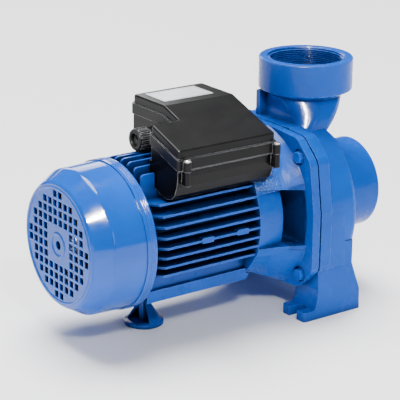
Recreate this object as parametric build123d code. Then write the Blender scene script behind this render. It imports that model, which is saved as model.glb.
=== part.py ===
from build123d import *
import math
import os

# Frame: +X runs along the shaft towards the suction port, +Z is up, the floor is Z = 0.
AXIS_Z = 116.3
SHAFT = Axis((0, 0, AXIS_Z), (1, 0, 0))

# Overall positions along the shaft
COVER_FACE_X = -208.0
COVER_STEP_X = -146.0
COVER_RIM_X = -134.0
HOUSING_REAR_X = -126.0
HOUSING_FRONT_X = 10.0
RING_END_X = 42.0
FLANGE_BACK_X = 63.0
JOINT_X = 73.2
GASKET_T = 2.0
CASING_BACK_X = JOINT_X + GASKET_T
LOBE_END_X = 90.0
VOLUTE_FRONT_X = 130.0
SUCTION_FACE_X = 208.0

# Fan cover and grille
COVER_T = 1.8
COVER_PLATE_DROP = 1.2
COVER_EDGE_R = 70.8
COVER_SHOULDER_X = -186.0
COVER_SHOULDER_R = 81.8
COVER_BODY_R = 83.2
COVER_RIM_R = 84.6
GRILLE_PITCH = 10.5
GRILLE_HOLE = 7.5
GRILLE_RING_R = 64.6
GRILLE_LIMIT = 31.0
COVER_BOSS_R = 13.0
COVER_HOLE_R = 5.0

# Motor
HOUSING_R = 60.0
HOUSING_BORE_R = 55.0
WINDING_R = 52.0
SPIGOT_R = 51.0
SIDE_FIN_TIP_R = 77.5
SIDE_FIN_PITCH = 11.4
TOP_FIN_TIP_R = 84.0
TOP_FIN_PITCH = 12.6
FIN_T = 2.6
CORE_X0 = -96.0
CORE_X1 = -14.0
ROTOR_R = 32.0
AIR_GAP = 0.4

# Bracket and casing outline
SIDE_HALF = 106.0
TOP_FLAT = 97.0
BOTTOM_FLAT = 84.0
RING_R = 78.0
FLANGE_BORE_R = 94.5
BOLT_CIRCLE_R = 107.0
BOLT_ANGLES = (43.5, 136.5, 217.0, 323.0)
SPOT_FACE_R = 9.2
CHAMBER_R = 94.0
CHAMBER_TOP = 88.0
CHAMBER_BOTTOM = 76.0
CHAMBER_END_X = 113.0

# Ports: G3 pipe thread, major radius 43.94
THREAD_R = 43.94
THREAD_DEPTH = 32.0
MOUTH_CHAMFER = 1.6
MOUTH_DEPTH = 3.0
SUCTION_R = 54.5
SUCTION_BORE_R = 38.0
DISCHARGE_X = 132.6
COLLAR_R = 55.0
COLLAR_TOP_Z = 282.4
COLLAR_BOTTOM_Z = 244.8
NECK_BORE_R = 36.0

# Feet
LEG_OUT_Y = 105.6
LEG_WAIST_Y = 102.4
LEG_BAND_Z = 25.0
LEG_FRONT_X = 126.0
CHEEK_Y = 105.4
CHEEK_Z = 58.0
CHEEK_FRONT_X = 112.0
LEG_IN_Y = 65.0
PAD_T = 11.0
PAD_X0 = 54.0
PAD_X1 = 137.0
SLOT_W = 13.5
SLOT_Y = 85.5
SLOT_END_X = 71.0
REAR_FOOT_X = -95.4
REAR_FOOT_R = 22.8

# Rotating parts
IMPELLER_R = 71.0
IMPELLER_EYE_R = 33.0
FAN_R = 62.0

# Terminal box
BOX_X0 = -71.0
BOX_X1 = 24.0
CAP_X0 = -106.0
BOX_FAR_Y = 57.0
BOX_RIDGE_Y = -4.0
BOX_NEAR_Y = -82.0
BOX_NOTCH_Y = -31.0
BOX_TOP_Z = 253.0
BOX_EDGE_Z = 225.8
BOX_FLOOR_Z = 202.0
LID_BAND = 10.0
LID_DEPTH = 22.0
LID_SKIRT = 2.0
LID_ROUND = 2.0
LID_CORNER = 3.0
LUG_R = 4.2
BOSS_R = 3.6
LID_BOSS_DROP = 11.0
LID_SCREW_Z = 214.5
GLAND_Y = 18.0
GLAND_Z = 212.4
GLAND_REACH = 24.6

# Shaft seal
SEAL_X = 73.0

os.makedirs("parts", exist_ok=True)


def save(node, shape):
    shape.label = node
    export_step(shape, f"parts/{node}.step")


def cyl_x(radius, x0, x1, y=0.0, z=AXIS_Z):
    return Pos((x0 + x1) / 2, y, z) * Rot(0, 90, 0) * Cylinder(radius, x1 - x0)


def cyl_y(radius, y0, y1, x, z):
    return Pos(x, (y0 + y1) / 2, z) * Rot(90, 0, 0) * Cylinder(radius, y1 - y0)


def cyl_z(radius, z0, z1, x, y):
    return Pos(x, y, (z0 + z1) / 2) * Cylinder(radius, z1 - z0)


def tube_x(outer, inner, x0, x1, y=0.0, z=AXIS_Z):
    return cyl_x(outer, x0, x1, y, z) - cyl_x(inner, x0 - 1, x1 + 1, y, z)


def block(x0, x1, y0, y1, z0, z1):
    centre = Pos((x0 + x1) / 2, (y0 + y1) / 2, (z0 + z1) / 2)
    return centre * Box(x1 - x0, y1 - y0, z1 - z0)


def turned(points):
    """Solid of revolution about the shaft from (x, radius) points."""
    wire = Polyline(*[(x, 0, AXIS_Z + r) for x, r in points], close=True)
    return revolve(make_face(wire), SHAFT, 360)


def turned_z(points, x, y):
    """Solid of revolution about a vertical axis from (radius, z) points."""
    wire = Polyline(*[(x + r, y, z) for r, z in points], close=True)
    return revolve(make_face(wire), Axis((x, y, 0), (0, 0, 1)), 360)


def slab_x(points, x0, x1):
    """Prism along X from a (y, z) outline."""
    wire = Polyline(*[(x0, y, z) for y, z in points], close=True)
    return extrude(make_face(wire), x1 - x0, (1, 0, 0))


def slab_y(points, y0, y1):
    """Prism along Y from an (x, z) outline."""
    wire = Polyline(*[(x, y0, z) for x, z in points], close=True)
    return extrude(make_face(wire), y1 - y0, (0, 1, 0))


def mirrored(shape):
    return shape + mirror(shape, Plane.XZ)


def rim_edges(shape, x, radius, tol=0.05):
    """Circular edges centred on the shaft at one station and radius."""
    return [
        e
        for e in shape.edges().filter_by(GeomType.CIRCLE)
        if abs(e.center(CenterOf.BOUNDING_BOX).X - x) < tol and abs(e.radius - radius) < tol
    ]


def rim_edges_at(shape, x):
    """Circular edges at one station, about any centre."""
    return [e for e in shape.edges().filter_by(GeomType.CIRCLE) if abs(e.center().X - x) < 0.05]


def polar(radius, angle):
    """Point (y, z) at an angle measured from +Y about the shaft."""
    a = math.radians(angle)
    return radius * math.cos(a), AXIS_Z + radius * math.sin(a)


# --- outline shared by the bracket flange, the gasket and the casing back ---


def flange_outline():
    right = [
        (30, TOP_FLAT),
        (68.5, 94.5),
        (74, 92.5),
        (94.5, 73.5),
        (97.5, 68),
        (102, 38),
        (SIDE_HALF, 12),
        (SIDE_HALF, -52),
        (104, -58),
        (84, -79.5),
        (78, -82),
        (50, -BOTTOM_FLAT),
    ]
    left = [(-y, z) for y, z in reversed(right)]
    return [(y, AXIS_Z + z) for y, z in right + left]


def flange_plate(x0, x1):
    plate = slab_x(flange_outline(), x0, x1)
    side = [e for e in plate.edges().filter_by(Axis.X) if abs(e.center().Y) > 60]
    return fillet(side, 3.0)


def bolt_points():
    return [polar(BOLT_CIRCLE_R, a) for a in BOLT_ANGLES]


# --- fan end ---


def cover_shell(t):
    """Cover envelope drawn in by the sheet thickness t."""
    plate_x = COVER_FACE_X + COVER_PLATE_DROP + t
    shape = turned([
        (plate_x, 0),
        (plate_x, 68.2 - 0.4 * t),
        (plate_x + 2.2, COVER_EDGE_R - 0.7 * t),
        (COVER_SHOULDER_X + 0.3 * t, COVER_SHOULDER_R - t),
        (COVER_STEP_X + t, COVER_BODY_R - t),
        (COVER_STEP_X + t, COVER_RIM_R - t),
        (COVER_RIM_X, COVER_RIM_R - t),
        (COVER_RIM_X, 0),
    ])
    return fillet(rim_edges(shape, COVER_SHOULDER_X + 0.3 * t, COVER_SHOULDER_R - t), 7.0 - t)


def grille_cutters():
    cells = [0.5 + i for i in range(-6, 6)]
    cutters = []
    for c in cells:
        for r in cells:
            if c * c + r * r < GRILLE_LIMIT and not (abs(c) < 2 and abs(r) < 2):
                spot = Pos(COVER_FACE_X, c * GRILLE_PITCH, AXIS_Z + r * GRILLE_PITCH)
                cutters.append(spot * Box(12, GRILLE_HOLE, GRILLE_HOLE))
    return cutters


def raised_ring(radius, width):
    """Pressed ring on the cover face, standing up to the face plane."""
    foot_x = COVER_FACE_X + COVER_PLATE_DROP + 0.3
    return turned([
        (foot_x, radius - width),
        (COVER_FACE_X, radius - 0.3 * width),
        (COVER_FACE_X, radius + 0.3 * width),
        (foot_x, radius + width),
    ])


def make_fan_cover():
    cover = cover_shell(0.0) - cover_shell(COVER_T)
    cover = cover + raised_ring(GRILLE_RING_R, 1.7) + raised_ring(COVER_BOSS_R, 2.4)
    for x in (COVER_STEP_X + 4.6, COVER_STEP_X + 7.0, COVER_STEP_X + 9.4):
        cover = cover - Pos(x, 0, AXIS_Z) * Rot(0, 90, 0) * Torus(COVER_RIM_R + 0.3, 0.85)
    cover = cover - grille_cutters()
    return cover - cyl_x(COVER_HOLE_R, COVER_FACE_X - 5, COVER_FACE_X + 8)


def make_cooling_fan():
    hub = cyl_x(17, -186, -160)
    disc = cyl_x(FAN_R, -163, -160.5)
    blades = []
    for i in range(7):
        blade = block(-185, -162.5, -1.2, 1.2, AXIS_Z + 14, AXIS_Z + FAN_R)
        blades.append(blade.rotate(SHAFT, i * 360 / 7))
    return hub + disc + blades - cyl_x(8.5, -190, -155)


def make_fan_clip():
    ring = tube_x(11.5, 7.6, -189.3, -187.8)
    return ring - block(-190, -187, -1.6, 1.6, AXIS_Z, AXIS_Z + 14)


def make_rear_shield():
    return turned([
        (-144, 60),
        (-144, COVER_RIM_R - COVER_T),
        (COVER_RIM_X + 1, COVER_RIM_R - COVER_T),
        (HOUSING_REAR_X, 66),
        (HOUSING_REAR_X, HOUSING_BORE_R),
        (-120, HOUSING_BORE_R),
        (-120, SPIGOT_R),
        (-127, SPIGOT_R),
        (-127, 31),
        (-124.5, 31),
        (-124.5, 23.5),
        (-139.5, 23.5),
        (-139.5, 12),
        (-144, 12),
        (-144, 31),
        (-132, 36),
        (-132, SPIGOT_R),
    ])


# --- motor ---


def side_fin(z):
    tip = math.sqrt(SIDE_FIN_TIP_R**2 - z**2)
    root = math.sqrt(max(HOUSING_R**2 - z**2, 0)) - 3
    mid = AXIS_Z + z
    fin = block(HOUSING_REAR_X, HOUSING_FRONT_X, root, tip, mid - FIN_T / 2, mid + FIN_T / 2)
    end = [e for e in fin.edges().filter_by(Axis.Z) if e.center().Y > tip - 0.1 and e.center().X < 0]
    return chamfer(end, min(10.0, tip - root - 1.5))


def top_fin(y, sign):
    tip = math.sqrt(TOP_FIN_TIP_R**2 - y**2)
    root = math.sqrt(HOUSING_R**2 - y**2) - 3
    low = AXIS_Z + min(sign * root, sign * tip)
    high = AXIS_Z + max(sign * root, sign * tip)
    fin = block(HOUSING_REAR_X, HOUSING_FRONT_X, y - FIN_T / 2, y + FIN_T / 2, low, high)
    end = [e for e in fin.edges().filter_by(Axis.Y) if e.center().X < 0]
    outer = [e for e in end if sign * (e.center().Z - AXIS_Z) > tip - 0.1]
    return fillet(outer, 6.0)


def make_housing():
    body = tube_x(HOUSING_R, HOUSING_BORE_R, HOUSING_REAR_X, HOUSING_FRONT_X)
    fins = []
    for i in range(-3, 5):
        fins.append(mirrored(side_fin(i * SIDE_FIN_PITCH)))
    for i in range(-3, 4):
        fins.append(top_fin(i * TOP_FIN_PITCH, 1))
    body = body + fins
    body = body + block(-68, 20, -34, 40, AXIS_Z + 50, BOX_FLOOR_Z) - cyl_x(HOUSING_BORE_R, -130, 20)
    body = body - block(HOUSING_FRONT_X, 25, -40, 45, AXIS_Z, 210)
    rail = block(HOUSING_REAR_X, 14, 36, 52, 46.5, 60)
    rail = fillet(rail.edges().filter_by(Axis.Y).group_by(Axis.X)[-1].group_by(Axis.Z)[0], 7.0)
    rail = rail - cyl_x(RING_R + 3.5, HOUSING_FRONT_X, 20)
    web = block(HOUSING_REAR_X, HOUSING_FRONT_X, 38, 48, 58, 82)
    body = body + mirrored(rail + (web - cyl_x(HOUSING_R - 2, -130, 20)))
    pad = block(REAR_FOOT_X - 14, REAR_FOOT_X + 14, -12, 12, 45, 58)
    body = body + (pad - cyl_x(HOUSING_R - 3, -130, 20))
    body = body - cyl_z(3.2, 40, 51.2, REAR_FOOT_X, 0)
    for x0 in (-70, -22):
        lump = block(x0, x0 + 15, 70, SIDE_FIN_TIP_R + 0.6, AXIS_Z - 3, AXIS_Z + 3.4)
        body = body + mirrored(lump)
    return body - capacitor_recess()


def capacitor_recess():
    """Room for the capacitor pod, shared by the motor frame and the bracket."""
    return slab_x(capacitor_outline(-1.5), CAP_X0 - 1.5, BOX_X1 + 1.5)


def make_stator_core():
    core = tube_x(HOUSING_BORE_R, ROTOR_R + AIR_GAP, CORE_X0, CORE_X1)
    slots = []
    for i in range(24):
        slot = block(CORE_X0 - 1, CORE_X1 + 1, -2.2, 2.2, AXIS_Z + 36, AXIS_Z + 48)
        slots.append(slot.rotate(SHAFT, i * 15))
    return core - slots


def make_winding(x0, x1):
    bundle = tube_x(WINDING_R, 36, x0, x1)
    edges = bundle.edges().filter_by(GeomType.CIRCLE)
    return fillet(edges, 5.0)


def make_rotor_core():
    stack = tube_x(ROTOR_R, 13.0, CORE_X0, CORE_X1)
    rings = [tube_x(ROTOR_R - 1, 20, CORE_X0 - 9, CORE_X0), tube_x(ROTOR_R - 1, 20, CORE_X1, CORE_X1 + 9)]
    vanes = []
    for i in range(8):
        for x0, x1 in ((CORE_X0 - 16, CORE_X0 - 9), (CORE_X1 + 9, CORE_X1 + 16)):
            vane = block(x0, x1, -1.5, 1.5, AXIS_Z + 21, AXIS_Z + 30)
            vanes.append(vane.rotate(SHAFT, i * 45))
    return stack + rings + vanes


def make_shaft():
    shaft = turned([
        (-194, 0),
        (-194, 7.7),
        (-193.2, 8.5),
        (-140.5, 8.5),
        (-140.5, 10),
        (-124, 10),
        (-124, 13),
        (13, 13),
        (13, 12.5),
        (30, 12.5),
        (30, 11),
        (87, 11),
        (87, 10),
        (112, 10),
        (112, 7),
        (126, 7),
        (127, 6),
        (127, 0),
    ])
    groove = tube_x(9.5, 7.6, -189.3, -187.8)
    keyway = block(91, 109, -3, 3, AXIS_Z + 6.5, AXIS_Z + 12)
    return shaft - groove - keyway


def groove_ring(x, pitch_r, ball_r):
    return Pos(x, 0, AXIS_Z) * Rot(0, 90, 0) * Torus(pitch_r, ball_r + 0.07)


def make_bearing(x0, x1, bore_r, out_r, pitch_r, ball_r, count):
    mid = (x0 + x1) / 2
    race = groove_ring(mid, pitch_r, ball_r)
    outer = tube_x(out_r, pitch_r + 0.45 * ball_r, x0, x1) - race
    inner = tube_x(pitch_r - 0.45 * ball_r, bore_r, x0, x1) - race
    cage = tube_x(pitch_r + 1.1, pitch_r - 1.1, mid - 4.6, mid + 4.6)
    balls = []
    for i in range(count):
        ball = Pos(mid, 0, AXIS_Z + pitch_r) * Sphere(ball_r)
        balls.append(ball.rotate(SHAFT, i * 360 / count))
    pockets = []
    for i in range(count):
        pocket = Pos(mid, 0, AXIS_Z + pitch_r) * Sphere(ball_r + 0.05)
        pockets.append(pocket.rotate(SHAFT, i * 360 / count))
    return outer, inner, Compound([*balls]), cage - pockets


def make_wave_washer():
    return tube_x(22.5, 18.5, -139.5, -139.0)


# --- bracket ---


def bell_shell():
    outer = turned([
        (HOUSING_FRONT_X, 0),
        (HOUSING_FRONT_X, 79),
        (30, 83),
        (50, 93),
        (65, 100),
        (65, 0),
    ])
    keep = slab_x([polar(160, 27), polar(160, 70), polar(160, 110), polar(160, 153), (0, AXIS_Z)], 0, 70)
    low = slab_x([polar(160, 200), polar(160, 240), polar(160, 300), polar(160, 340), (0, AXIS_Z)], 0, 70)
    trim = slab_x(flange_outline(), 0, 70)
    return outer & (keep + low) & trim


def belly_cut():
    """Space below the sloping underside of the bracket."""
    return slab_y([(0, 0), (72, 0), (72, 30.4), (10, 55.5), (0, 55.5)], -130, 130)


def arm_pads():
    upper = slab_y([(10, 41 + AXIS_Z), (65, 38 + AXIS_Z), (65, 62 + AXIS_Z), (10, 56 + AXIS_Z)], 40, 96)
    lower = slab_y([(10, -27 + AXIS_Z), (65, -27 + AXIS_Z), (65, -39 + AXIS_Z), (10, -37 + AXIS_Z)], 40, 96)
    wedge = turned([(10, 0), (10, 80), (40, 88), (65, 99), (65, 0)])
    return mirrored((upper + lower) & wedge)


def make_bracket():
    ring = cyl_x(RING_R, HOUSING_FRONT_X, RING_END_X)
    body = (ring + bell_shell() + arm_pads()) - belly_cut()
    body = body + flange_plate(FLANGE_BACK_X, JOINT_X)
    lantern = turned([(39, 40), (39, 68), (44, 71), (62, 86), (62, 40)])
    body = body - (lantern & block(30, 70, -130, 130, AXIS_Z - 64, AXIS_Z + 130))
    for y0, y1 in ((40, 130), (-130, -40)):
        window = block(RING_END_X, FLANGE_BACK_X, y0, y1, AXIS_Z - 27, AXIS_Z + 38)
        body = body - (window & (cyl_x(130, RING_END_X, FLANGE_BACK_X) - cyl_x(45, 0, 80)))
        step = block(FLANGE_BACK_X - 1, FLANGE_BACK_X + 3, y0, y1, AXIS_Z - 27, AXIS_Z + 38)
        body = body - (step & cyl_x(FLANGE_BORE_R, 60, 70))
    body = body - turned([(9, 0), (9, SPIGOT_R), (28, 48), (28, 30), (12, 30), (12, 0)])
    body = body - cyl_x(26, 9, 29.5) - capacitor_recess()
    body = body - cyl_x(17, 29, 41)
    body = body - turned([(38, 0), (38, 42), (62, 42), (62, 30), (56, 24), (56, 0)])
    body = body - cyl_x(12.2, 50, 80)
    body = body - cyl_x(21, 65, 80)
    body = body - turned([(70, 21), (70, 78), (80, 78), (80, 21)])
    spigot = tube_x(HOUSING_BORE_R, SPIGOT_R, 4, HOUSING_FRONT_X + 1)
    body = body + spigot
    for y, z in bolt_points():
        body = body - cyl_x(SPOT_FACE_R, 40, FLANGE_BACK_X + 2.0, y, z)
        body = body - cyl_x(4.4, 60, 80, y, z)
    return body


def make_flange_bolts():
    bolts = []
    for y, z in bolt_points():
        seat = FLANGE_BACK_X + 2.0
        sketch_plane = Plane(origin=(seat - 6.4, y, z), x_dir=(0, 1, 0), z_dir=(1, 0, 0))
        head = extrude(sketch_plane * RegularPolygon(6.7, 6), 5.4, (1, 0, 0))
        head = head & cyl_x(6.5, seat - 7, seat, y, z)
        washer = cyl_x(7.6, seat - 1.2, seat, y, z)
        shank = cyl_x(4.0, seat - 2, 87.5, y, z)
        bolts.append(head + washer + shank)
    return Compound(bolts)


def chamber(x0, x1, grow=0.0):
    """Pump chamber: a drum flattened above and below."""
    drum = cyl_x(CHAMBER_R + grow, x0, x1)
    flats = block(x0 - 1, x1 + 1, -130, 130, AXIS_Z - CHAMBER_BOTTOM - grow, AXIS_Z + CHAMBER_TOP + grow)
    return drum & flats


def make_gasket():
    return chamber(JOINT_X, CASING_BACK_X, 5.0) - chamber(JOINT_X - 1, CASING_BACK_X + 1, 1.0)


# --- pump casing ---


def casing_leg():
    outline = [
        (CASING_BACK_X, CHEEK_Z),
        (CASING_BACK_X, 34),
        (72, 16),
        (69, PAD_T),
        (PAD_X0, PAD_T),
        (PAD_X0, 0),
        (PAD_X1, 0),
        (PAD_X1 - 1, LEG_BAND_Z),
        (LEG_FRONT_X, CHEEK_Z),
        (LEG_FRONT_X, AXIS_Z - 30),
        (CASING_BACK_X + 8, AXIS_Z - 30),
    ]
    leg = slab_y(outline, LEG_IN_Y, LEG_OUT_Y)
    side = [(LEG_OUT_Y, LEG_BAND_Z), (LEG_WAIST_Y, CHEEK_Z), (LEG_WAIST_Y, AXIS_Z)]
    leg = leg - slab_x([(LEG_OUT_Y + 1, LEG_BAND_Z), *side, (LEG_OUT_Y + 1, AXIS_Z)], 40, 150)
    half = SLOT_W / 2
    centre_x = SLOT_END_X - half
    leg = leg - block(PAD_X0 - 5, centre_x, SLOT_Y - half, SLOT_Y + half, -1, PAD_T + 1)
    leg = leg - cyl_z(half, -1, PAD_T + 1, centre_x, SLOT_Y)
    tips = [e for e in leg.edges().filter_by(Axis.Z) if e.center().X < PAD_X0 + 0.1]
    corners = [e for e in tips if not LEG_IN_Y + 0.1 < e.center().Y < LEG_OUT_Y - 0.1]
    return fillet(corners, 4.0)


def casing_cheek():
    """Thick side wall of the casing above each leg."""
    cheek = block(CASING_BACK_X, CHEEK_FRONT_X, LEG_IN_Y + 15, CHEEK_Y, CHEEK_Z, AXIS_Z + 12)
    low = cheek.edges().filter_by(Axis.X).group_by(Axis.Z)[0].sort_by(Axis.Y)[-1]
    return chamfer(low, 1.2)


def suction_spigot():
    return turned([
        (110, 0),
        (110, 70),
        (124, 62),
        (132, SUCTION_R + 1),
        (140, SUCTION_R),
        (SUCTION_FACE_X - 1.5, SUCTION_R),
        (SUCTION_FACE_X, SUCTION_R - 1.5),
        (SUCTION_FACE_X, 0),
    ])


def discharge_neck():
    """Neck that leans from the volute forward to the discharge port."""
    return loft([
        Pos(100, 0, 194) * RectangleRounded(46, 100, 14),
        Pos(117, 0, 214) * RectangleRounded(54, 104, 20),
        Pos(131, 0, COLLAR_BOTTOM_Z - 4.8) * RectangleRounded(87, 87, 43.4),
    ])


def discharge_collar():
    return turned_z([
        (0, COLLAR_BOTTOM_Z - 5),
        (43.5, COLLAR_BOTTOM_Z - 5),
        (COLLAR_R - 1.2, COLLAR_BOTTOM_Z),
        (COLLAR_R, COLLAR_BOTTOM_Z + 1.2),
        (COLLAR_R, COLLAR_TOP_Z - 1.2),
        (COLLAR_R - 1.2, COLLAR_TOP_Z),
        (0, COLLAR_TOP_Z),
    ], DISCHARGE_X, 0)


def mouth_chamfer():
    """Entry chamfer of a port, drawn about +Z with its wide end at Z = 0."""
    return Pos(0, 0, -MOUTH_DEPTH / 2) * Cone(THREAD_R, THREAD_R + MOUTH_CHAMFER, MOUTH_DEPTH)


def make_casing():
    lobes = flange_plate(CASING_BACK_X, LOBE_END_X)
    drum = turned([
        (CASING_BACK_X, 0),
        (CASING_BACK_X, SIDE_HALF),
        (VOLUTE_FRONT_X - 7, SIDE_HALF),
        (VOLUTE_FRONT_X - 3, SIDE_HALF - 1.5),
        (VOLUTE_FRONT_X, SIDE_HALF - 6),
        (VOLUTE_FRONT_X, 0),
    ])
    drum = drum & block(0, 150, -130, 130, AXIS_Z - BOTTOM_FLAT, AXIS_Z + TOP_FLAT)
    low_z = AXIS_Z + 75
    crown = [(117, AXIS_Z + TOP_FLAT), (VOLUTE_FRONT_X, low_z), (150, low_z), (150, 240), (117, 240)]
    drum = drum - slab_y(crown, -130, 130)
    web = block(83, 104, 22, 29, AXIS_Z + 90, COLLAR_BOTTOM_Z - 2.5)
    body = lobes + drum + mirrored(casing_leg()) + mirrored(casing_cheek())
    body = body + suction_spigot() + discharge_neck() + discharge_collar() + web
    body = body - chamber(CASING_BACK_X - 1, CHAMBER_END_X)
    body = body - cyl_x(SUCTION_BORE_R, 110, SUCTION_FACE_X + 1)
    body = body - cyl_x(THREAD_R, SUCTION_FACE_X - THREAD_DEPTH, SUCTION_FACE_X + 1)
    duct = loft([
        Pos(99, 0, AXIS_Z + 64) * RectangleRounded(24, 60, 8),
        Pos(116, 0, 214) * RectangleRounded(36, 74, 12),
        Pos(131, 0, COLLAR_BOTTOM_Z - 2) * RectangleRounded(2 * NECK_BORE_R, 2 * NECK_BORE_R, 35.9),
    ])
    body = body - duct
    body = body - cyl_z(NECK_BORE_R, COLLAR_BOTTOM_Z - 3, COLLAR_TOP_Z + 1, DISCHARGE_X, 0)
    body = body - cyl_z(THREAD_R, COLLAR_TOP_Z - THREAD_DEPTH, COLLAR_TOP_Z + 1, DISCHARGE_X, 0)
    body = body - Pos(DISCHARGE_X, 0, COLLAR_TOP_Z) * mouth_chamfer()
    body = body - Pos(SUCTION_FACE_X, 0, AXIS_Z) * Rot(0, 90, 0) * mouth_chamfer()
    for y, z in bolt_points():
        body = body - cyl_x(4.0, CASING_BACK_X - 1, 88, y, z)
    return body


# --- impeller and seal ---


def make_impeller():
    back = turned([(91, 10), (91, IMPELLER_R), (94, IMPELLER_R), (97, 16), (109, 16), (109, 10)])
    shroud = turned([
        (103, IMPELLER_R),
        (105.5, IMPELLER_R),
        (108, 50),
        (110, IMPELLER_EYE_R + 2.5),
        (111, IMPELLER_EYE_R + 2.5),
        (111, IMPELLER_EYE_R),
        (107, IMPELLER_EYE_R),
    ])
    inner_r = IMPELLER_EYE_R + 3
    room = turned([(93.5, 15), (93.5, IMPELLER_R), (104, IMPELLER_R), (107.6, inner_r), (107.6, 15)])
    arc = tube_x(50, 47, 93, 109, y=40) & block(92, 110, -20, 95, AXIS_Z + 2, AXIS_Z + 90)
    vane = arc & room & tube_x(IMPELLER_R - 0.5, 30, 92, 110)
    vanes = [vane.rotate(SHAFT, i * 60) for i in range(6)]
    body = back + shroud + vanes
    return body - block(90, 112, -3, 3, AXIS_Z, AXIS_Z + 12.5) - cyl_x(10, 88, 112)


def make_key():
    return block(91, 109, -3, 3, AXIS_Z + 6.5, AXIS_Z + 12.5)


def make_impeller_washer():
    return tube_x(13, 7, 112, 114)


def make_impeller_nut():
    sketch_plane = Plane(origin=(114, 0, AXIS_Z), x_dir=(0, 1, 0), z_dir=(1, 0, 0))
    return extrude(sketch_plane * RegularPolygon(12, 6), 9, (1, 0, 0)) - cyl_x(7, 110, 130)


def make_slinger():
    return turned([(46, 11), (46, 20), (47.5, 24), (49.5, 24), (50.5, 16), (54, 16), (54, 11)])


# --- terminal box ---


def box_outline(drop):
    return [
        (BOX_FAR_Y, BOX_TOP_Z - drop),
        (BOX_RIDGE_Y, BOX_TOP_Z - drop),
        (BOX_NEAR_Y, BOX_EDGE_Z - drop),
    ]


def box_plan_cut():
    return block(CAP_X0 - 1, BOX_X0, BOX_NOTCH_Y, BOX_FAR_Y + 5, 150, 270)


def lid_hollow():
    outline = [
        (BOX_FAR_Y - 2.5, BOX_TOP_Z - 2.5),
        (BOX_RIDGE_Y + 0.5, BOX_TOP_Z - 2.5),
        (BOX_NEAR_Y + 2.5, BOX_EDGE_Z - 2.0),
        (BOX_NEAR_Y + 2.5, BOX_FLOOR_Z + 2.5),
        (BOX_FAR_Y - 2.5, BOX_FLOOR_Z + 2.5),
    ]
    inner = slab_x(outline, CAP_X0 + 2.5, BOX_X1 - 2.5)
    return inner - block(CAP_X0 - 1, BOX_X0 + 2.5, BOX_NOTCH_Y - 2.5, BOX_FAR_Y + 5, 150, 270)


def screw_bosses(radius, low, high, web_inset):
    """Screw bosses with a web back to the box wall."""
    bosses = []
    for x, y, z in lid_screw_spots():
        side = 1 if y > 0 else -1
        ends = sorted([y, y - side * web_inset])
        web = block(x - radius + 0.8, x + radius - 0.8, ends[0], ends[1], z - low, z - high)
        bosses.append(cyl_z(radius, z - low, z - high, x, y) + web)
    return bosses


def lid_screw_holes(depth):
    return [cyl_z(2.1, z - depth, z + 1, x, y) for x, y, z in lid_screw_spots()]


def roof_z(y):
    """Height of the lid's outer surface at y."""
    fall = (BOX_TOP_Z - BOX_EDGE_Z) / (BOX_RIDGE_Y - BOX_NEAR_Y)
    return BOX_TOP_Z - max(0.0, BOX_RIDGE_Y - y) * fall


def on_roof(edge):
    return all(abs(v.Z - roof_z(v.Y)) < 0.01 for v in edge.vertices())


def lid_band():
    """Upper tier of the lid, with rounded corners and roof edges."""
    band = slab_x(box_outline(0) + box_outline(LID_BAND + 1)[::-1], CAP_X0, BOX_X1) - box_plan_cut()
    band = fillet(band.edges().filter_by(Axis.Z), LID_CORNER)
    rim = [e for e in band.edges() if on_roof(e) and abs(e.center().Y - BOX_RIDGE_Y) > 0.1]
    return fillet(rim, LID_ROUND)


def lid_skirt():
    """Lower tier of the lid, proud of the upper one."""
    spread = LID_SKIRT
    wide = [
        (BOX_FAR_Y + spread, BOX_TOP_Z),
        (BOX_RIDGE_Y, BOX_TOP_Z),
        (BOX_NEAR_Y - spread, BOX_EDGE_Z),
    ]
    upper = [(y, z - LID_BAND) for y, z in wide]
    lower = [(y, z - LID_DEPTH) for y, z in wide]
    skirt = slab_x(upper + lower[::-1], CAP_X0 - spread, BOX_X1 + spread)
    skirt = skirt - block(CAP_X0 - 5, BOX_X0 - spread, BOX_NOTCH_Y + spread, BOX_FAR_Y + 5, 150, 270)
    return fillet(skirt.edges().filter_by(Axis.Z), LID_CORNER)


def make_lid():
    lid = lid_band() + lid_skirt() - lid_hollow()
    return lid + screw_bosses(LUG_R, LID_BOSS_DROP, 0, 5.0) - lid_screw_holes(40)


def make_lid_screws():
    screws = []
    for x, y, z in lid_screw_spots():
        head = cyl_z(3.4, z, z + 2.0, x, y) - block(x - 5, x + 5, y - 0.5, y + 0.5, z + 1.0, z + 3)
        screws.append(head + cyl_z(2.1, z - 22, z, x, y))
    return Compound(screws)


def lid_screw_spots():
    far_z = LID_SCREW_Z + BOX_TOP_Z - BOX_EDGE_Z
    return [
        (CAP_X0 + 8, BOX_NEAR_Y - 5.5, LID_SCREW_Z),
        (BOX_X1 - 1.5, BOX_NEAR_Y - 5.5, LID_SCREW_Z),
        (BOX_X0 + 8, BOX_FAR_Y + 5.5, far_z),
        (BOX_X1 - 8, BOX_FAR_Y + 5.5, far_z),
    ]


def capacitor_outline(t):
    """Pod outline in (y, z), drawn in by t."""
    return [
        (-27.5 - t, 225),
        (-27.5 - t, 184 + 0.5 * t),
        (-38.5 - 0.4 * t, 174 + t),
        (-50, 168.5 + t),
        (-60, 166.8 + t),
        (-69 + 0.4 * t, 168.3 + t),
        (-75 + 0.7 * t, 174 + 0.6 * t),
        (-79 + t, 184 + 0.3 * t),
        (-81 + t, 195),
        (-81 + t, 225),
    ]


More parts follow.
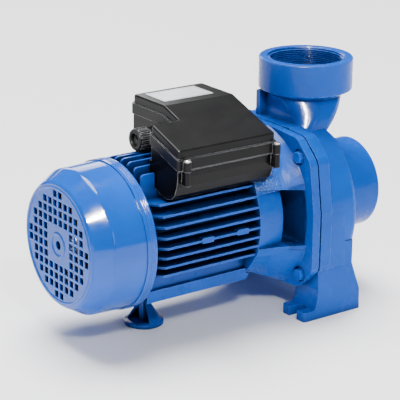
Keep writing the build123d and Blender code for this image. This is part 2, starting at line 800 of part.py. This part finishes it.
def make_box_base():
    outline = box_outline(LID_DEPTH) + [(BOX_NEAR_Y, BOX_FLOOR_Z), (BOX_FAR_Y, BOX_FLOOR_Z)]
    body = slab_x(outline, CAP_X0, BOX_X1) - box_plan_cut()
    pod = slab_x(capacitor_outline(0), CAP_X0, BOX_X1)
    body = body + (pod & block(CAP_X0 - 5, BOX_X1 + 5, -90, 0, 150, BOX_FLOOR_Z + 1))
    body = body - lid_hollow()
    body = body - slab_x(capacitor_outline(2.5), CAP_X0 + 2.5, BOX_X1 - 2.5)
    body = body - screw_bosses(LUG_R, LID_BOSS_DROP, -3, 3.0)
    body = body + screw_bosses(BOSS_R, 27, LID_BOSS_DROP, 7.0) - lid_screw_holes(22)
    return body - cyl_x(8.5, BOX_X0 - 5, BOX_X0 + 8, GLAND_Y, GLAND_Z)


def make_label():
    return block(BOX_X0 + 10, BOX_X1 - 18, 9.5, BOX_FAR_Y - 9, BOX_TOP_Z, BOX_TOP_Z + 0.6)


def make_capacitor():
    can = cyl_x(20, CAP_X0 + 8, 6, -54, 194)
    cap = cyl_x(6, 6, 11, -54, 194)
    return can + cap


def make_terminal_block():
    body = block(-40, 8, 4, 30, BOX_FLOOR_Z + 2.5, 214)
    studs = [cyl_z(2.2, 213, 221, -32 + 16 * i, 17) for i in range(3)]
    return body + studs


def make_gland_body():
    thread = cyl_x(8.5, BOX_X0, BOX_X0 + 7, GLAND_Y, GLAND_Z)
    sketch_plane = Plane(origin=(BOX_X0 - 8, GLAND_Y, GLAND_Z), x_dir=(0, 1, 0), z_dir=(1, 0, 0))
    hexagon = extrude(sketch_plane * RegularPolygon(12, 6), 8, (1, 0, 0))
    body = thread + hexagon + cyl_x(9.5, BOX_X0 - 20, BOX_X0 - 8, GLAND_Y, GLAND_Z)
    return body - cyl_x(6.5, BOX_X0 - 25, BOX_X0 + 10, GLAND_Y, GLAND_Z)


def make_gland_nut():
    nut = tube_x(12.2, 9.5, BOX_X0 - 20, BOX_X0 - 9, GLAND_Y, GLAND_Z)
    nut = nut + tube_x(12.2, 7.2, BOX_X0 - GLAND_REACH, BOX_X0 - 20, GLAND_Y, GLAND_Z)
    mouth = rim_edges_at(nut, BOX_X0 - GLAND_REACH)
    nut = fillet(mouth, 1.2)
    ribs = []
    gland_axis = Axis((0, GLAND_Y, GLAND_Z), (1, 0, 0))
    for i in range(16):
        rib = block(BOX_X0 - 22.5, BOX_X0 - 9, GLAND_Y - 1.2, GLAND_Y + 1.2, GLAND_Z + 11.8, GLAND_Z + 12.9)
        ribs.append(rib.rotate(gland_axis, i * 22.5))
    return nut + ribs


def make_gland_seal():
    return tube_x(6.5, 4.5, BOX_X0 - 20, BOX_X0 - 9, GLAND_Y, GLAND_Z)


# --- rear foot ---


def make_rear_foot():
    rim = [(REAR_FOOT_R - 0.8, 0), (REAR_FOOT_R, 1), (REAR_FOOT_R, 4), (20, 5.2), (19, 4)]
    disc = turned_z([(0, 0), *rim, (0, 4)], REAR_FOOT_X, 0)
    cone = turned_z([(18.5, 3), (21, 3), (9, 22), (4, 30), (2, 30), (6.5, 21)], REAR_FOOT_X, 0)
    foot_axis = Axis((REAR_FOOT_X, 0, 0), (0, 0, 1))
    opening = block(REAR_FOOT_X - 25, REAR_FOOT_X, -25, 9, 5, 32).rotate(foot_axis, -14)
    post = block(REAR_FOOT_X - 4, REAR_FOOT_X + 4, -4, 4, 3, 42)
    plate = block(REAR_FOOT_X - 13, REAR_FOOT_X + 13, -10, 10, 41, 45)
    return disc + (cone - opening) + post + plate


def make_seal_seat():
    return tube_x(18, 12.6, SEAL_X - 6, SEAL_X + 2)


def make_seal_cup():
    return tube_x(21, 18, SEAL_X - 7.5, SEAL_X + 1)


def make_seal_ring():
    return tube_x(16.5, 12.2, SEAL_X + 2.02, SEAL_X + 6)


def make_seal_bellows():
    return turned([(77, 11), (77, 12.2), (79, 12.2), (79, 17), (86, 17), (86, 14), (91, 14), (91, 11)])


def make_seal_spring():
    coils = []
    for i in range(4):
        coils.append(Pos(86.7 + i * 1.22, 0, AXIS_Z) * Rot(0, 90, 0) * Torus(15.2, 0.55))
    return Compound(coils)


def main():
    save("fan_cover", make_fan_cover())
    save("cooling_fan", make_cooling_fan())
    save("fan_clip", make_fan_clip())
    save("rear_end_shield", make_rear_shield())
    save("stator_housing", make_housing())
    save("stator_core", make_stator_core())
    save("winding_rear", make_winding(CORE_X0 - 21, CORE_X0))
    save("winding_front", make_winding(CORE_X1, CORE_X1 + 20))
    save("rotor_core", make_rotor_core())
    save("shaft", make_shaft())
    rear = make_bearing(-139, -125, 10, 23.5, 16.75, 3.97, 8)
    front = make_bearing(14, 29, 12.5, 26, 19.25, 3.97, 9)
    for side, bearing in (("rear", rear), ("front", front)):
        for name, shape in zip(("outer", "inner", "balls", "cage"), bearing):
            save(f"{side}_bearing_{name}", shape)
    save("wave_washer", make_wave_washer())
    save("motor_bracket", make_bracket())
    save("flange_bolts", make_flange_bolts())
    save("casing_gasket", make_gasket())
    save("pump_casing", make_casing())
    save("impeller", make_impeller())
    save("impeller_key", make_key())
    save("impeller_washer", make_impeller_washer())
    save("impeller_nut", make_impeller_nut())
    save("water_slinger", make_slinger())
    save("seal_seat", make_seal_seat())
    save("seal_cup", make_seal_cup())
    save("seal_ring", make_seal_ring())
    save("seal_bellows", make_seal_bellows())
    save("seal_spring", make_seal_spring())
    save("terminal_box_base", make_box_base())
    save("terminal_box_lid", make_lid())
    save("lid_screws", make_lid_screws())
    save("rating_label", make_label())
    save("capacitor", make_capacitor())
    save("terminal_block", make_terminal_block())
    save("gland_body", make_gland_body())
    save("gland_nut", make_gland_nut())
    save("gland_seal", make_gland_seal())
    save("rear_foot", make_rear_foot())


main()
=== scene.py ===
import math

import bpy
from mathutils import Matrix, Vector


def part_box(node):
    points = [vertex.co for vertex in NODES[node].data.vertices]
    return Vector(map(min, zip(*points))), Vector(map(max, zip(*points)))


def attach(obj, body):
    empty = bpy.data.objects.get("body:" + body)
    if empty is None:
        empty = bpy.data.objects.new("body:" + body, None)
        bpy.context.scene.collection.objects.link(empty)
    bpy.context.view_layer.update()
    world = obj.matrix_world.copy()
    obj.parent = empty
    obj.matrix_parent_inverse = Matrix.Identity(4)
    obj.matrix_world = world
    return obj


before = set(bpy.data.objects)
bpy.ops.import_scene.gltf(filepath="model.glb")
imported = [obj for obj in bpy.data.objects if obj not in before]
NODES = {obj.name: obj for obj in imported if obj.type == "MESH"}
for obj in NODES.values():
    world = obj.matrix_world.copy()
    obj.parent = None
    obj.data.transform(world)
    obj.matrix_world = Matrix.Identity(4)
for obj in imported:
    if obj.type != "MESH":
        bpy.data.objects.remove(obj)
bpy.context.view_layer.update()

# Sizes and places are in metres, angles in degrees.
MM = 0.001
AXIS_Z = 0.1163
PORT_TOP = (0.1326, 0, 0.2824)
PORT_SIDE = (0.208, 0, AXIS_Z)

CAMERA_AZIMUTH = -35.885
CAMERA_ELEVATION = 18.531
CAMERA_ROLL = 0.583
CAMERA_PLACE = (-1.05166, -1.42886, 0.72385)
CAMERA_LENS = 146.39
CAMERA_SENSOR = 36.0

# The thread's major radius, flank depth and pitch, and the cone at the mouth of each port.
THREAD_R = 43.9 * MM
THREAD_DEPTH = 1.5 * MM
THREAD_PITCH = 2.309 * MM
THREAD_LENGTH = 31.0 * MM
THREAD_LEAD = 0.5 * MM
MOUTH_DEPTH = 3.0 * MM
MOUTH_STEP = 1.55 * MM

# Linear colours.
BLUE = (0.0, 0.068, 0.40, 1.0)
COVER_BLUE = (0.0, 0.078, 0.46, 1.0)
# A pale blue for painted glints on the bracket's sand-cast patch.
GLINT_BLUE = (0.35, 0.55, 0.85, 1.0)


# ---------------------------------------------------------------- camera


def toward(azimuth, elevation):
    """The unit direction that leads away from the part, with azimuth 0 at -Y."""
    az, el = math.radians(azimuth), math.radians(elevation)
    return Vector((math.sin(az) * math.cos(el), -math.cos(az) * math.cos(el), math.sin(el)))


def place_camera():
    back = toward(CAMERA_AZIMUTH, CAMERA_ELEVATION)
    azimuth, roll = math.radians(CAMERA_AZIMUTH), math.radians(CAMERA_ROLL)
    level = Vector((math.cos(azimuth), math.sin(azimuth), 0))
    plumb = back.cross(level)
    right = math.cos(roll) * level + math.sin(roll) * plumb
    up = -math.sin(roll) * level + math.cos(roll) * plumb
    camera = bpy.data.objects.new("camera", bpy.data.cameras.new("camera"))
    camera.data.lens = CAMERA_LENS
    camera.data.sensor_width = CAMERA_SENSOR
    turn = Matrix((right, up, back)).transposed().to_4x4()
    camera.matrix_world = Matrix.Translation(CAMERA_PLACE) @ turn
    bpy.context.scene.collection.objects.link(camera)
    bpy.context.scene.camera = camera


# ---------------------------------------------------------------- material helpers


def linear(value):
    """One sRGB channel of 0 to 255 as a linear value."""
    v = value / 255
    return v / 12.92 if v <= 0.04045 else ((v + 0.055) / 1.055) ** 2.4


def srgb(r, g, b):
    return (linear(r), linear(g), linear(b), 1.0)


def shade(color, factor):
    return (color[0] * factor, color[1] * factor, color[2] * factor, 1.0)


class Nodes:
    """A short way to build a node tree."""

    def __init__(self, name):
        self.material = bpy.data.materials.new(name)
        self.material.use_nodes = True
        self.tree = self.material.node_tree
        self.tree.nodes.clear()
        self.out = self.add("ShaderNodeOutputMaterial")
        self.bsdf = self.add("ShaderNodeBsdfPrincipled")
        self.join(self.bsdf.outputs[0], self.out.inputs["Surface"])
        self.place = self.add("ShaderNodeTexCoord").outputs["Object"]

    def add(self, kind):
        return self.tree.nodes.new(kind)

    def join(self, output, socket):
        self.tree.links.new(output, socket)

    def feed(self, value, socket):
        """Put a constant or another node's output on a socket."""
        if isinstance(value, (int, float, tuple)):
            socket.default_value = value
        else:
            self.join(value, socket)

    def set(self, socket_name, value):
        """Put a constant or another node's output on a socket of the main shader."""
        self.feed(value, self.bsdf.inputs[socket_name])

    def current(self, socket_name):
        """The output that now drives a socket of the main shader."""
        return self.bsdf.inputs[socket_name].links[0].from_socket

    def noise(self, scale, detail=3.0, roughness=0.5):
        node = self.add("ShaderNodeTexNoise")
        node.inputs["Scale"].default_value = scale
        node.inputs["Detail"].default_value = detail
        node.inputs["Roughness"].default_value = roughness
        self.join(self.place, node.inputs["Vector"])
        return node.outputs["Fac"]

    def span(self, value, low, high, out_low, out_high):
        """Map low..high onto out_low..out_high, held at both ends."""
        node = self.add("ShaderNodeMapRange")
        node.clamp = True
        limits = {"From Min": low, "From Max": high, "To Min": out_low, "To Max": out_high}
        for key, number in limits.items():
            node.inputs[key].default_value = number
        self.join(value, node.inputs["Value"])
        return node.outputs["Result"]

    def math(self, operation, a, b):
        node = self.add("ShaderNodeMath")
        node.operation = operation
        self.feed(a, node.inputs[0])
        self.feed(b, node.inputs[1])
        return node.outputs[0]

    def both(self, a, b):
        return self.math("MULTIPLY", a, b)

    def mix(self, factor, a, b):
        node = self.add("ShaderNodeMix")
        node.data_type = "RGBA"
        self.join(factor, node.inputs["Factor"])
        self.feed(a, node.inputs[6])
        self.feed(b, node.inputs[7])
        return node.outputs[2]

    def mottle(self, scale, color_a, color_b, spread=0.2):
        """Slow drift between two colours."""
        drift = self.span(self.noise(scale, 3.0), 0.5 - spread, 0.5 + spread, 0.0, 1.0)
        return self.mix(drift, color_a, color_b)

    def edges(self, radius, low=0.90, high=0.995):
        """1 on sharp edges, 0 on flat stretches."""
        bevel = self.add("ShaderNodeBevel")
        bevel.samples = 4
        bevel.inputs["Radius"].default_value = radius
        geometry = self.add("ShaderNodeNewGeometry")
        dot = self.add("ShaderNodeVectorMath")
        dot.operation = "DOT_PRODUCT"
        self.join(bevel.outputs[0], dot.inputs[0])
        self.join(geometry.outputs["True Normal"], dot.inputs[1])
        return self.span(dot.outputs["Value"], low, high, 1.0, 0.0)

    def corner_shade(self, distance, low, high):
        """Painted shade mask: 0 deep in gaps and corners, 1 on open faces."""
        node = self.add("ShaderNodeAmbientOcclusion")
        node.samples = 8
        node.inputs["Distance"].default_value = distance
        return self.span(node.outputs["AO"], low, high, 0.0, 1.0)

    def bump(self, height, distance, strength=1.0, normal=None):
        node = self.add("ShaderNodeBump")
        node.inputs["Distance"].default_value = distance
        node.inputs["Strength"].default_value = strength
        self.join(height, node.inputs["Height"])
        if normal is not None:
            self.join(normal, node.inputs["Normal"])
        return node.outputs[0]

    def round_edges(self, radius):
        node = self.add("ShaderNodeBevel")
        node.samples = 6
        node.inputs["Radius"].default_value = radius
        return node.outputs[0]


def paint(name, color, rough, grain, grain_size, bevel, **extra):
    """Gloss paint over a casting or pressing: grain is the depth of its bumps.

    extra may hold coat; the strength of the rubbed edges, which are partly worn paint and partly a
    painted highlight; shine; and the reach of the painted shade in gaps and corners.
    """
    coat, wear_and_glint = extra.get("coat", 0.12), extra.get("wear_and_glint", 0.9)
    gap, shine = extra.get("gap", 0.012), extra.get("shine", 0.08)
    n = Nodes(name)
    tone = n.mottle(14.0, shade(color, 0.90), shade(color, 1.10), 0.15)
    speck = n.span(n.noise(900.0, 2.0), 0.46, 0.60, 0.15, 1.0)
    # Rubbed edges in a paler blue: partly worn paint, partly a painted highlight along the edges.
    edge_wear_and_glint = n.both(n.both(n.edges(0.0009), speck), wear_and_glint)
    light = (color[0] + 0.16, color[1] + 0.22, min(color[2] + 0.42, 1), 1.0)
    # Painted shade: the colour darkens to 0.12 of itself in gaps and corners.
    unshaded_face = n.corner_shade(gap, 0.25, 0.85)
    n.set("Base Color", n.mix(unshaded_face, shade(color, 0.12), n.mix(edge_wear_and_glint, tone, light)))
    n.set("Roughness", n.span(n.noise(70.0, 4.0), 0.3, 0.7, rough - 0.05, rough + 0.07))
    coarse = n.bump(n.noise(grain_size, 3.0, 0.55), grain, 1.0, n.round_edges(bevel))
    n.set("Normal", n.bump(n.noise(1400.0, 2.0), 0.00002, 0.6, coarse))
    n.set("Coat Weight", coat)
    n.set("Coat Roughness", 0.08)
    n.set("Specular IOR Level", shine)
    return n


def black_plastic(name, color, rough, bevel=0.0008):
    """Moulded plastic with painted shade in corners and rubbed edges that are partly a painted
    highlight; also used for pale plastic and ceramic.
    """
    n = Nodes(name)
    tone = n.mottle(25.0, shade(color, 0.85), shade(color, 1.2), 0.15)
    # Rubbed edges in pale grey: partly wear, partly a painted highlight along the edges.
    rub_and_glint = n.both(n.edges(0.0010, 0.75, 0.98), n.span(n.noise(500.0, 2.0), 0.40, 0.6, 0.45, 1.0))
    shadowed = n.mix(n.corner_shade(0.008, 0.3, 0.9), shade(color, 0.15), tone)
    n.set("Base Color", n.mix(rub_and_glint, shadowed, srgb(176, 178, 182)))
    n.set("Specular IOR Level", 0.12)
    n.set("Roughness", n.span(n.noise(60.0, 4.0), 0.3, 0.7, rough - 0.02, rough + 0.03))
    n.set("Normal", n.bump(n.noise(2600.0, 2.0), 0.00004, 0.7, n.round_edges(bevel)))
    return n


def metal(name, color, rough, grain=0.00002):
    n = Nodes(name)
    n.set("Base Color", n.mottle(60.0, shade(color, 0.85), shade(color, 1.1)))
    n.set("Roughness", n.span(n.noise(220.0, 4.0), 0.3, 0.7, rough - 0.07, rough + 0.1))
    n.set("Normal", n.bump(n.noise(1800.0, 2.0), grain, 0.6, n.round_edges(0.0004)))
    n.set("Metallic", 1.0)
    return n


def rubber(name, color):
    n = Nodes(name)
    n.set("Base Color", n.mottle(50.0, shade(color, 0.8), shade(color, 1.3)))
    n.set("Roughness", n.span(n.noise(120.0, 3.0), 0.3, 0.7, 0.55, 0.7))
    n.set("Normal", n.bump(n.noise(1500.0, 2.0), 0.00006, 0.6))
    return n


def band(n, axis, low, high, soft):
    """1 where one object coordinate lies between low and high."""
    split = n.add("ShaderNodeSeparateXYZ")
    n.join(n.place, split.inputs[0])
    value = split.outputs[axis]
    rise = n.span(value, low - soft, low + soft, 0.0, 1.0)
    fall = n.span(value, high - soft, high + soft, 1.0, 0.0)
    return n.both(rise, fall)


def casting_paint():
    """Bracket paint: a rough sand-cast patch on the upper arms with painted glints, and painted shade on
    the walls behind the windows.
    """
    n = paint("bracket_paint", BLUE, 0.27, 0.0004, 130.0, 0.0014, gap=0.022)
    patch = n.both(band(n, 2, 0.156, 0.177, 0.004), band(n, 0, 0.008, 0.038, 0.006))
    # Painted shade: the walls behind the windows are darkened to a quarter of the blue.
    window = n.both(band(n, 1, -0.090, 0.090, 0.004), band(n, 2, AXIS_Z - 0.030, AXIS_Z + 0.040, 0.008))
    inside = n.both(window, band(n, 0, 0.046, 0.090, 0.001))
    n.set("Base Color", n.mix(inside, n.current("Base Color"), shade(BLUE, 0.25)))
    # Painted glints: pale blue specks on the sand-cast patch.
    painted_glints = n.both(n.span(n.noise(900.0, 2.0), 0.58, 0.66, 0.0, 0.8), patch)
    n.set("Base Color", n.mix(painted_glints, n.current("Base Color"), GLINT_BLUE))
    rough_skin = n.both(n.noise(420.0, 4.0, 0.65), patch)
    n.set("Normal", n.bump(rough_skin, 0.0022, 1.0, n.current("Normal")))
    return n


def label_panel(n, inset):
    """1 on the label further than inset from its edge."""
    low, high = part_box("rating_label")
    across = band(n, 0, low.x + inset, high.x - inset, 0.0001)
    return n.both(across, band(n, 1, low.y + inset, high.y - inset, 0.0001))


def label_foil():
    """A blank foil with one plain border line."""
    n = Nodes("label_foil")
    border = n.math("SUBTRACT", label_panel(n, 0.0022), label_panel(n, 0.0028))
    tone = n.mottle(40.0, srgb(196, 199, 204), srgb(226, 228, 232))
    n.set("Base Color", n.mix(border, tone, srgb(60, 62, 66)))
    n.set("Roughness", n.span(n.noise(150.0, 3.0), 0.3, 0.7, 0.3, 0.42))
    n.set("Normal", n.bump(n.noise(1500.0, 2.0), 0.00003, 0.5))
    n.set("Metallic", 0.5)
    return n


# ---------------------------------------------------------------- materials on the CAD nodes


def dress_nodes():
    cast = paint("cast_paint", BLUE, 0.24, 0.00035, 120.0, 0.0018)
    bracket = casting_paint()
    housing = paint("frame_paint", shade(BLUE, 0.95), 0.30, 0.0002, 260.0, 0.0006, gap=0.022)
    bolt = paint("bolt_paint", shade(BLUE, 1.15), 0.2, 0.0001, 200.0, 0.0004, gap=0.004)
    # Painted shade: the rear end shield takes a near-black blue so that it shows as shade inside the fan
    # cover; the part itself is painted blue.
    deep = paint("shield_painted_shade", shade(BLUE, 0.15), 0.45, 0.0002, 260.0, 0.0006)
    gloss = {"coat": 0.4, "wear_and_glint": 0.3, "shine": 0.14}
    cover = paint("cover_paint", COVER_BLUE, 0.12, 0.00004, 60.0, 0.0006, **gloss)
    foot = paint("foot_paint", shade(BLUE, 0.85), 0.20, 0.0003, 150.0, 0.001)
    box = black_plastic("box_plastic", srgb(12, 12, 13), 0.24)
    lid = black_plastic("lid_plastic", srgb(16, 16, 17), 0.30)
    gland = black_plastic("gland_plastic", srgb(24, 24, 26), 0.42, 0.0004)
    ceramic = black_plastic("seal_ceramic", srgb(225, 222, 212), 0.2)
    pale = black_plastic("capacitor_shell", srgb(190, 190, 184), 0.4)
    steel = metal("zinc_steel", srgb(205, 205, 200), 0.22)
    ground = metal("ground_steel", srgb(170, 170, 172), 0.25)
    core = metal("core_steel", srgb(90, 90, 95), 0.45)
    copper = metal("copper_wire", srgb(190, 105, 60), 0.4, 0.0002)
    brass = metal("cast_brass", srgb(190, 160, 95), 0.38, 0.0001)
    black_rubber = rubber("dark_rubber", srgb(22, 22, 23))
    looks = {
        "pump_casing": cast,
        "motor_bracket": bracket,
        "flange_bolts": bolt,
        "stator_housing": housing,
        "rear_end_shield": deep,
        "fan_cover": cover,
        "rear_foot": foot,
        "terminal_box_base": box,
        "terminal_box_lid": lid,
        "rating_label": label_foil(),
        "lid_screws": steel,
        "gland_body": gland,
        "gland_nut": gland,
        "gland_seal": black_rubber,
        "cooling_fan": gland,
        "terminal_block": gland,
        "capacitor": pale,
        "impeller": brass,
        "winding_front": copper,
        "winding_rear": copper,
        "stator_core": core,
        "rotor_core": core,
        "casing_gasket": black_rubber,
        "water_slinger": black_rubber,
        "seal_cup": black_rubber,
        "seal_bellows": black_rubber,
        "seal_ring": gland,
        "seal_seat": ceramic,
    }
    for name, node in NODES.items():
        node.data.materials.clear()
        node.data.materials.append(looks.get(name, ground).material)


# ---------------------------------------------------------------- pieces


def thread_rows():
    """Each row's distance inside the mouth, the bore radius there and the height of its ridges."""
    steps_per_turn = 14
    rows = int(THREAD_LENGTH / THREAD_PITCH * steps_per_turn)
    for i in range(rows + 1):
        s = THREAD_LEAD + THREAD_LENGTH * i / rows
        wall = THREAD_R + MOUTH_STEP * max(0.0, 1 - s / MOUTH_DEPTH)
        run_out = min(1.0, (THREAD_LENGTH + THREAD_LEAD - s) / (2 * THREAD_PITCH))
        yield s, wall, THREAD_DEPTH * run_out


def thread_sleeve(piece_name, mouth, along, across, up, material):
    """Helical pipe-thread flanks inside a port, as one sheet that runs in and out from the bore wall."""
    around = 128
    verts, faces = [], []
    for s, wall, depth in thread_rows():
        for j in range(around):
            a = 2 * math.pi * j / around
            phase = (s / THREAD_PITCH + j / around) % 1.0
            ridge = min(max((0.88 - abs(2 * phase - 1)) / 0.76, 0), 1)
            spoke = across * math.cos(a) + up * math.sin(a)
            verts.append(mouth - along * s + spoke * (wall - depth * ridge))
    for start in range(0, len(verts) - around, around):
        for j in range(around):
            k = (j + 1) % around
            faces.append((start + j, start + k, start + around + k, start + around + j))
    mesh = bpy.data.meshes.new(piece_name)
    mesh.from_pydata(verts, [], faces)
    mesh.update()
    mesh.materials.append(material)
    piece = bpy.data.objects.new(piece_name, mesh)
    bpy.context.scene.collection.objects.link(piece)
    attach(piece, "pump_frame")


def add_pieces():
    x, y, z = Vector((1, 0, 0)), Vector((0, 1, 0)), Vector((0, 0, 1))
    thread = paint("thread_paint", shade(BLUE, 1.1), 0.25, 0.00002, 300.0, 0.00005, gap=0.0022).material
    thread_sleeve("discharge_thread", Vector(PORT_TOP), z, x, y, thread)
    thread_sleeve("suction_thread", Vector(PORT_SIDE), x, y, z, thread)


# ---------------------------------------------------------------- stage and lights


def add_floor():
    half = 15
    n = Nodes("floor_paint")
    n.set("Base Color", n.mix(n.noise(3.0), (0.86, 0.86, 0.86, 1), (0.88, 0.88, 0.88, 1)))
    n.set("Roughness", 0.6)
    n.set("Specular IOR Level", 0.2)
    corners = [(-half, -half, 0), (half, -half, 0), (half, half, 0), (-half, half, 0)]
    mesh = bpy.data.meshes.new("floor")
    mesh.from_pydata(corners, [], [(0, 1, 2, 3)])
    floor = bpy.data.objects.new("floor", mesh)
    floor.data.materials.append(n.material)
    bpy.context.scene.collection.objects.link(floor)


def link_light(name, data, shines_from):
    """Add a light that faces away from the direction shines_from."""
    light = bpy.data.objects.new(name, data)
    light.rotation_euler = (-shines_from).to_track_quat("-Z", "Y").to_euler()
    bpy.context.scene.collection.objects.link(light)
    return light


def area_light(name, place, target, width, height, power):
    data = bpy.data.lights.new(name, "AREA")
    data.shape = "RECTANGLE"
    data.size = width
    data.size_y = height
    data.energy = power
    light = link_light(name, data, Vector(place) - Vector(target))
    light.location = place
    return light


def gloss_light(name, place, target, width, height, power):
    """An area light that shows in glossy paint and adds nothing to plain shading."""
    light = area_light(name, place, target, width, height, power)
    light.visible_diffuse = False


def sun_light(name, azimuth, elevation, strength, spread):
    """Broad, even light from one direction; spread is its angular size."""
    data = bpy.data.lights.new(name, "SUN")
    data.energy = strength
    data.angle = math.radians(spread)
    link_light(name, data, toward(azimuth, elevation))


def add_lights():
    world = bpy.data.worlds.new("studio")
    world.use_nodes = True
    background = world.node_tree.nodes["Background"]
    background.inputs["Color"].default_value = (1.0, 1.0, 1.0, 1.0)
    background.inputs["Strength"].default_value = 0.17
    bpy.context.scene.world = world
    cover = (-0.19, -0.06, 0.17)
    sun_light("overhead", 160.0, 74.0, 9.0, 40.0)
    area_light("key_box", (-0.55, -1.25, 1.30), (-0.05, -0.06, 0.17), 0.17, 0.21, 20.0)
    gloss_light("glint_box", (-0.86, -0.93, 1.36), cover, 0.30, 0.30, 330.0)
    gloss_light("sheen_box", (0.62, 1.9, 0.95), (-0.05, 0.0, 0.25), 1.0, 0.7, 14.0)
    area_light("front_box", (0.5, -2.0, 0.7), (0.0, 0.0, 0.14), 0.3, 0.6, 4.0)


place_camera()
dress_nodes()
add_pieces()
add_floor()
add_lights()
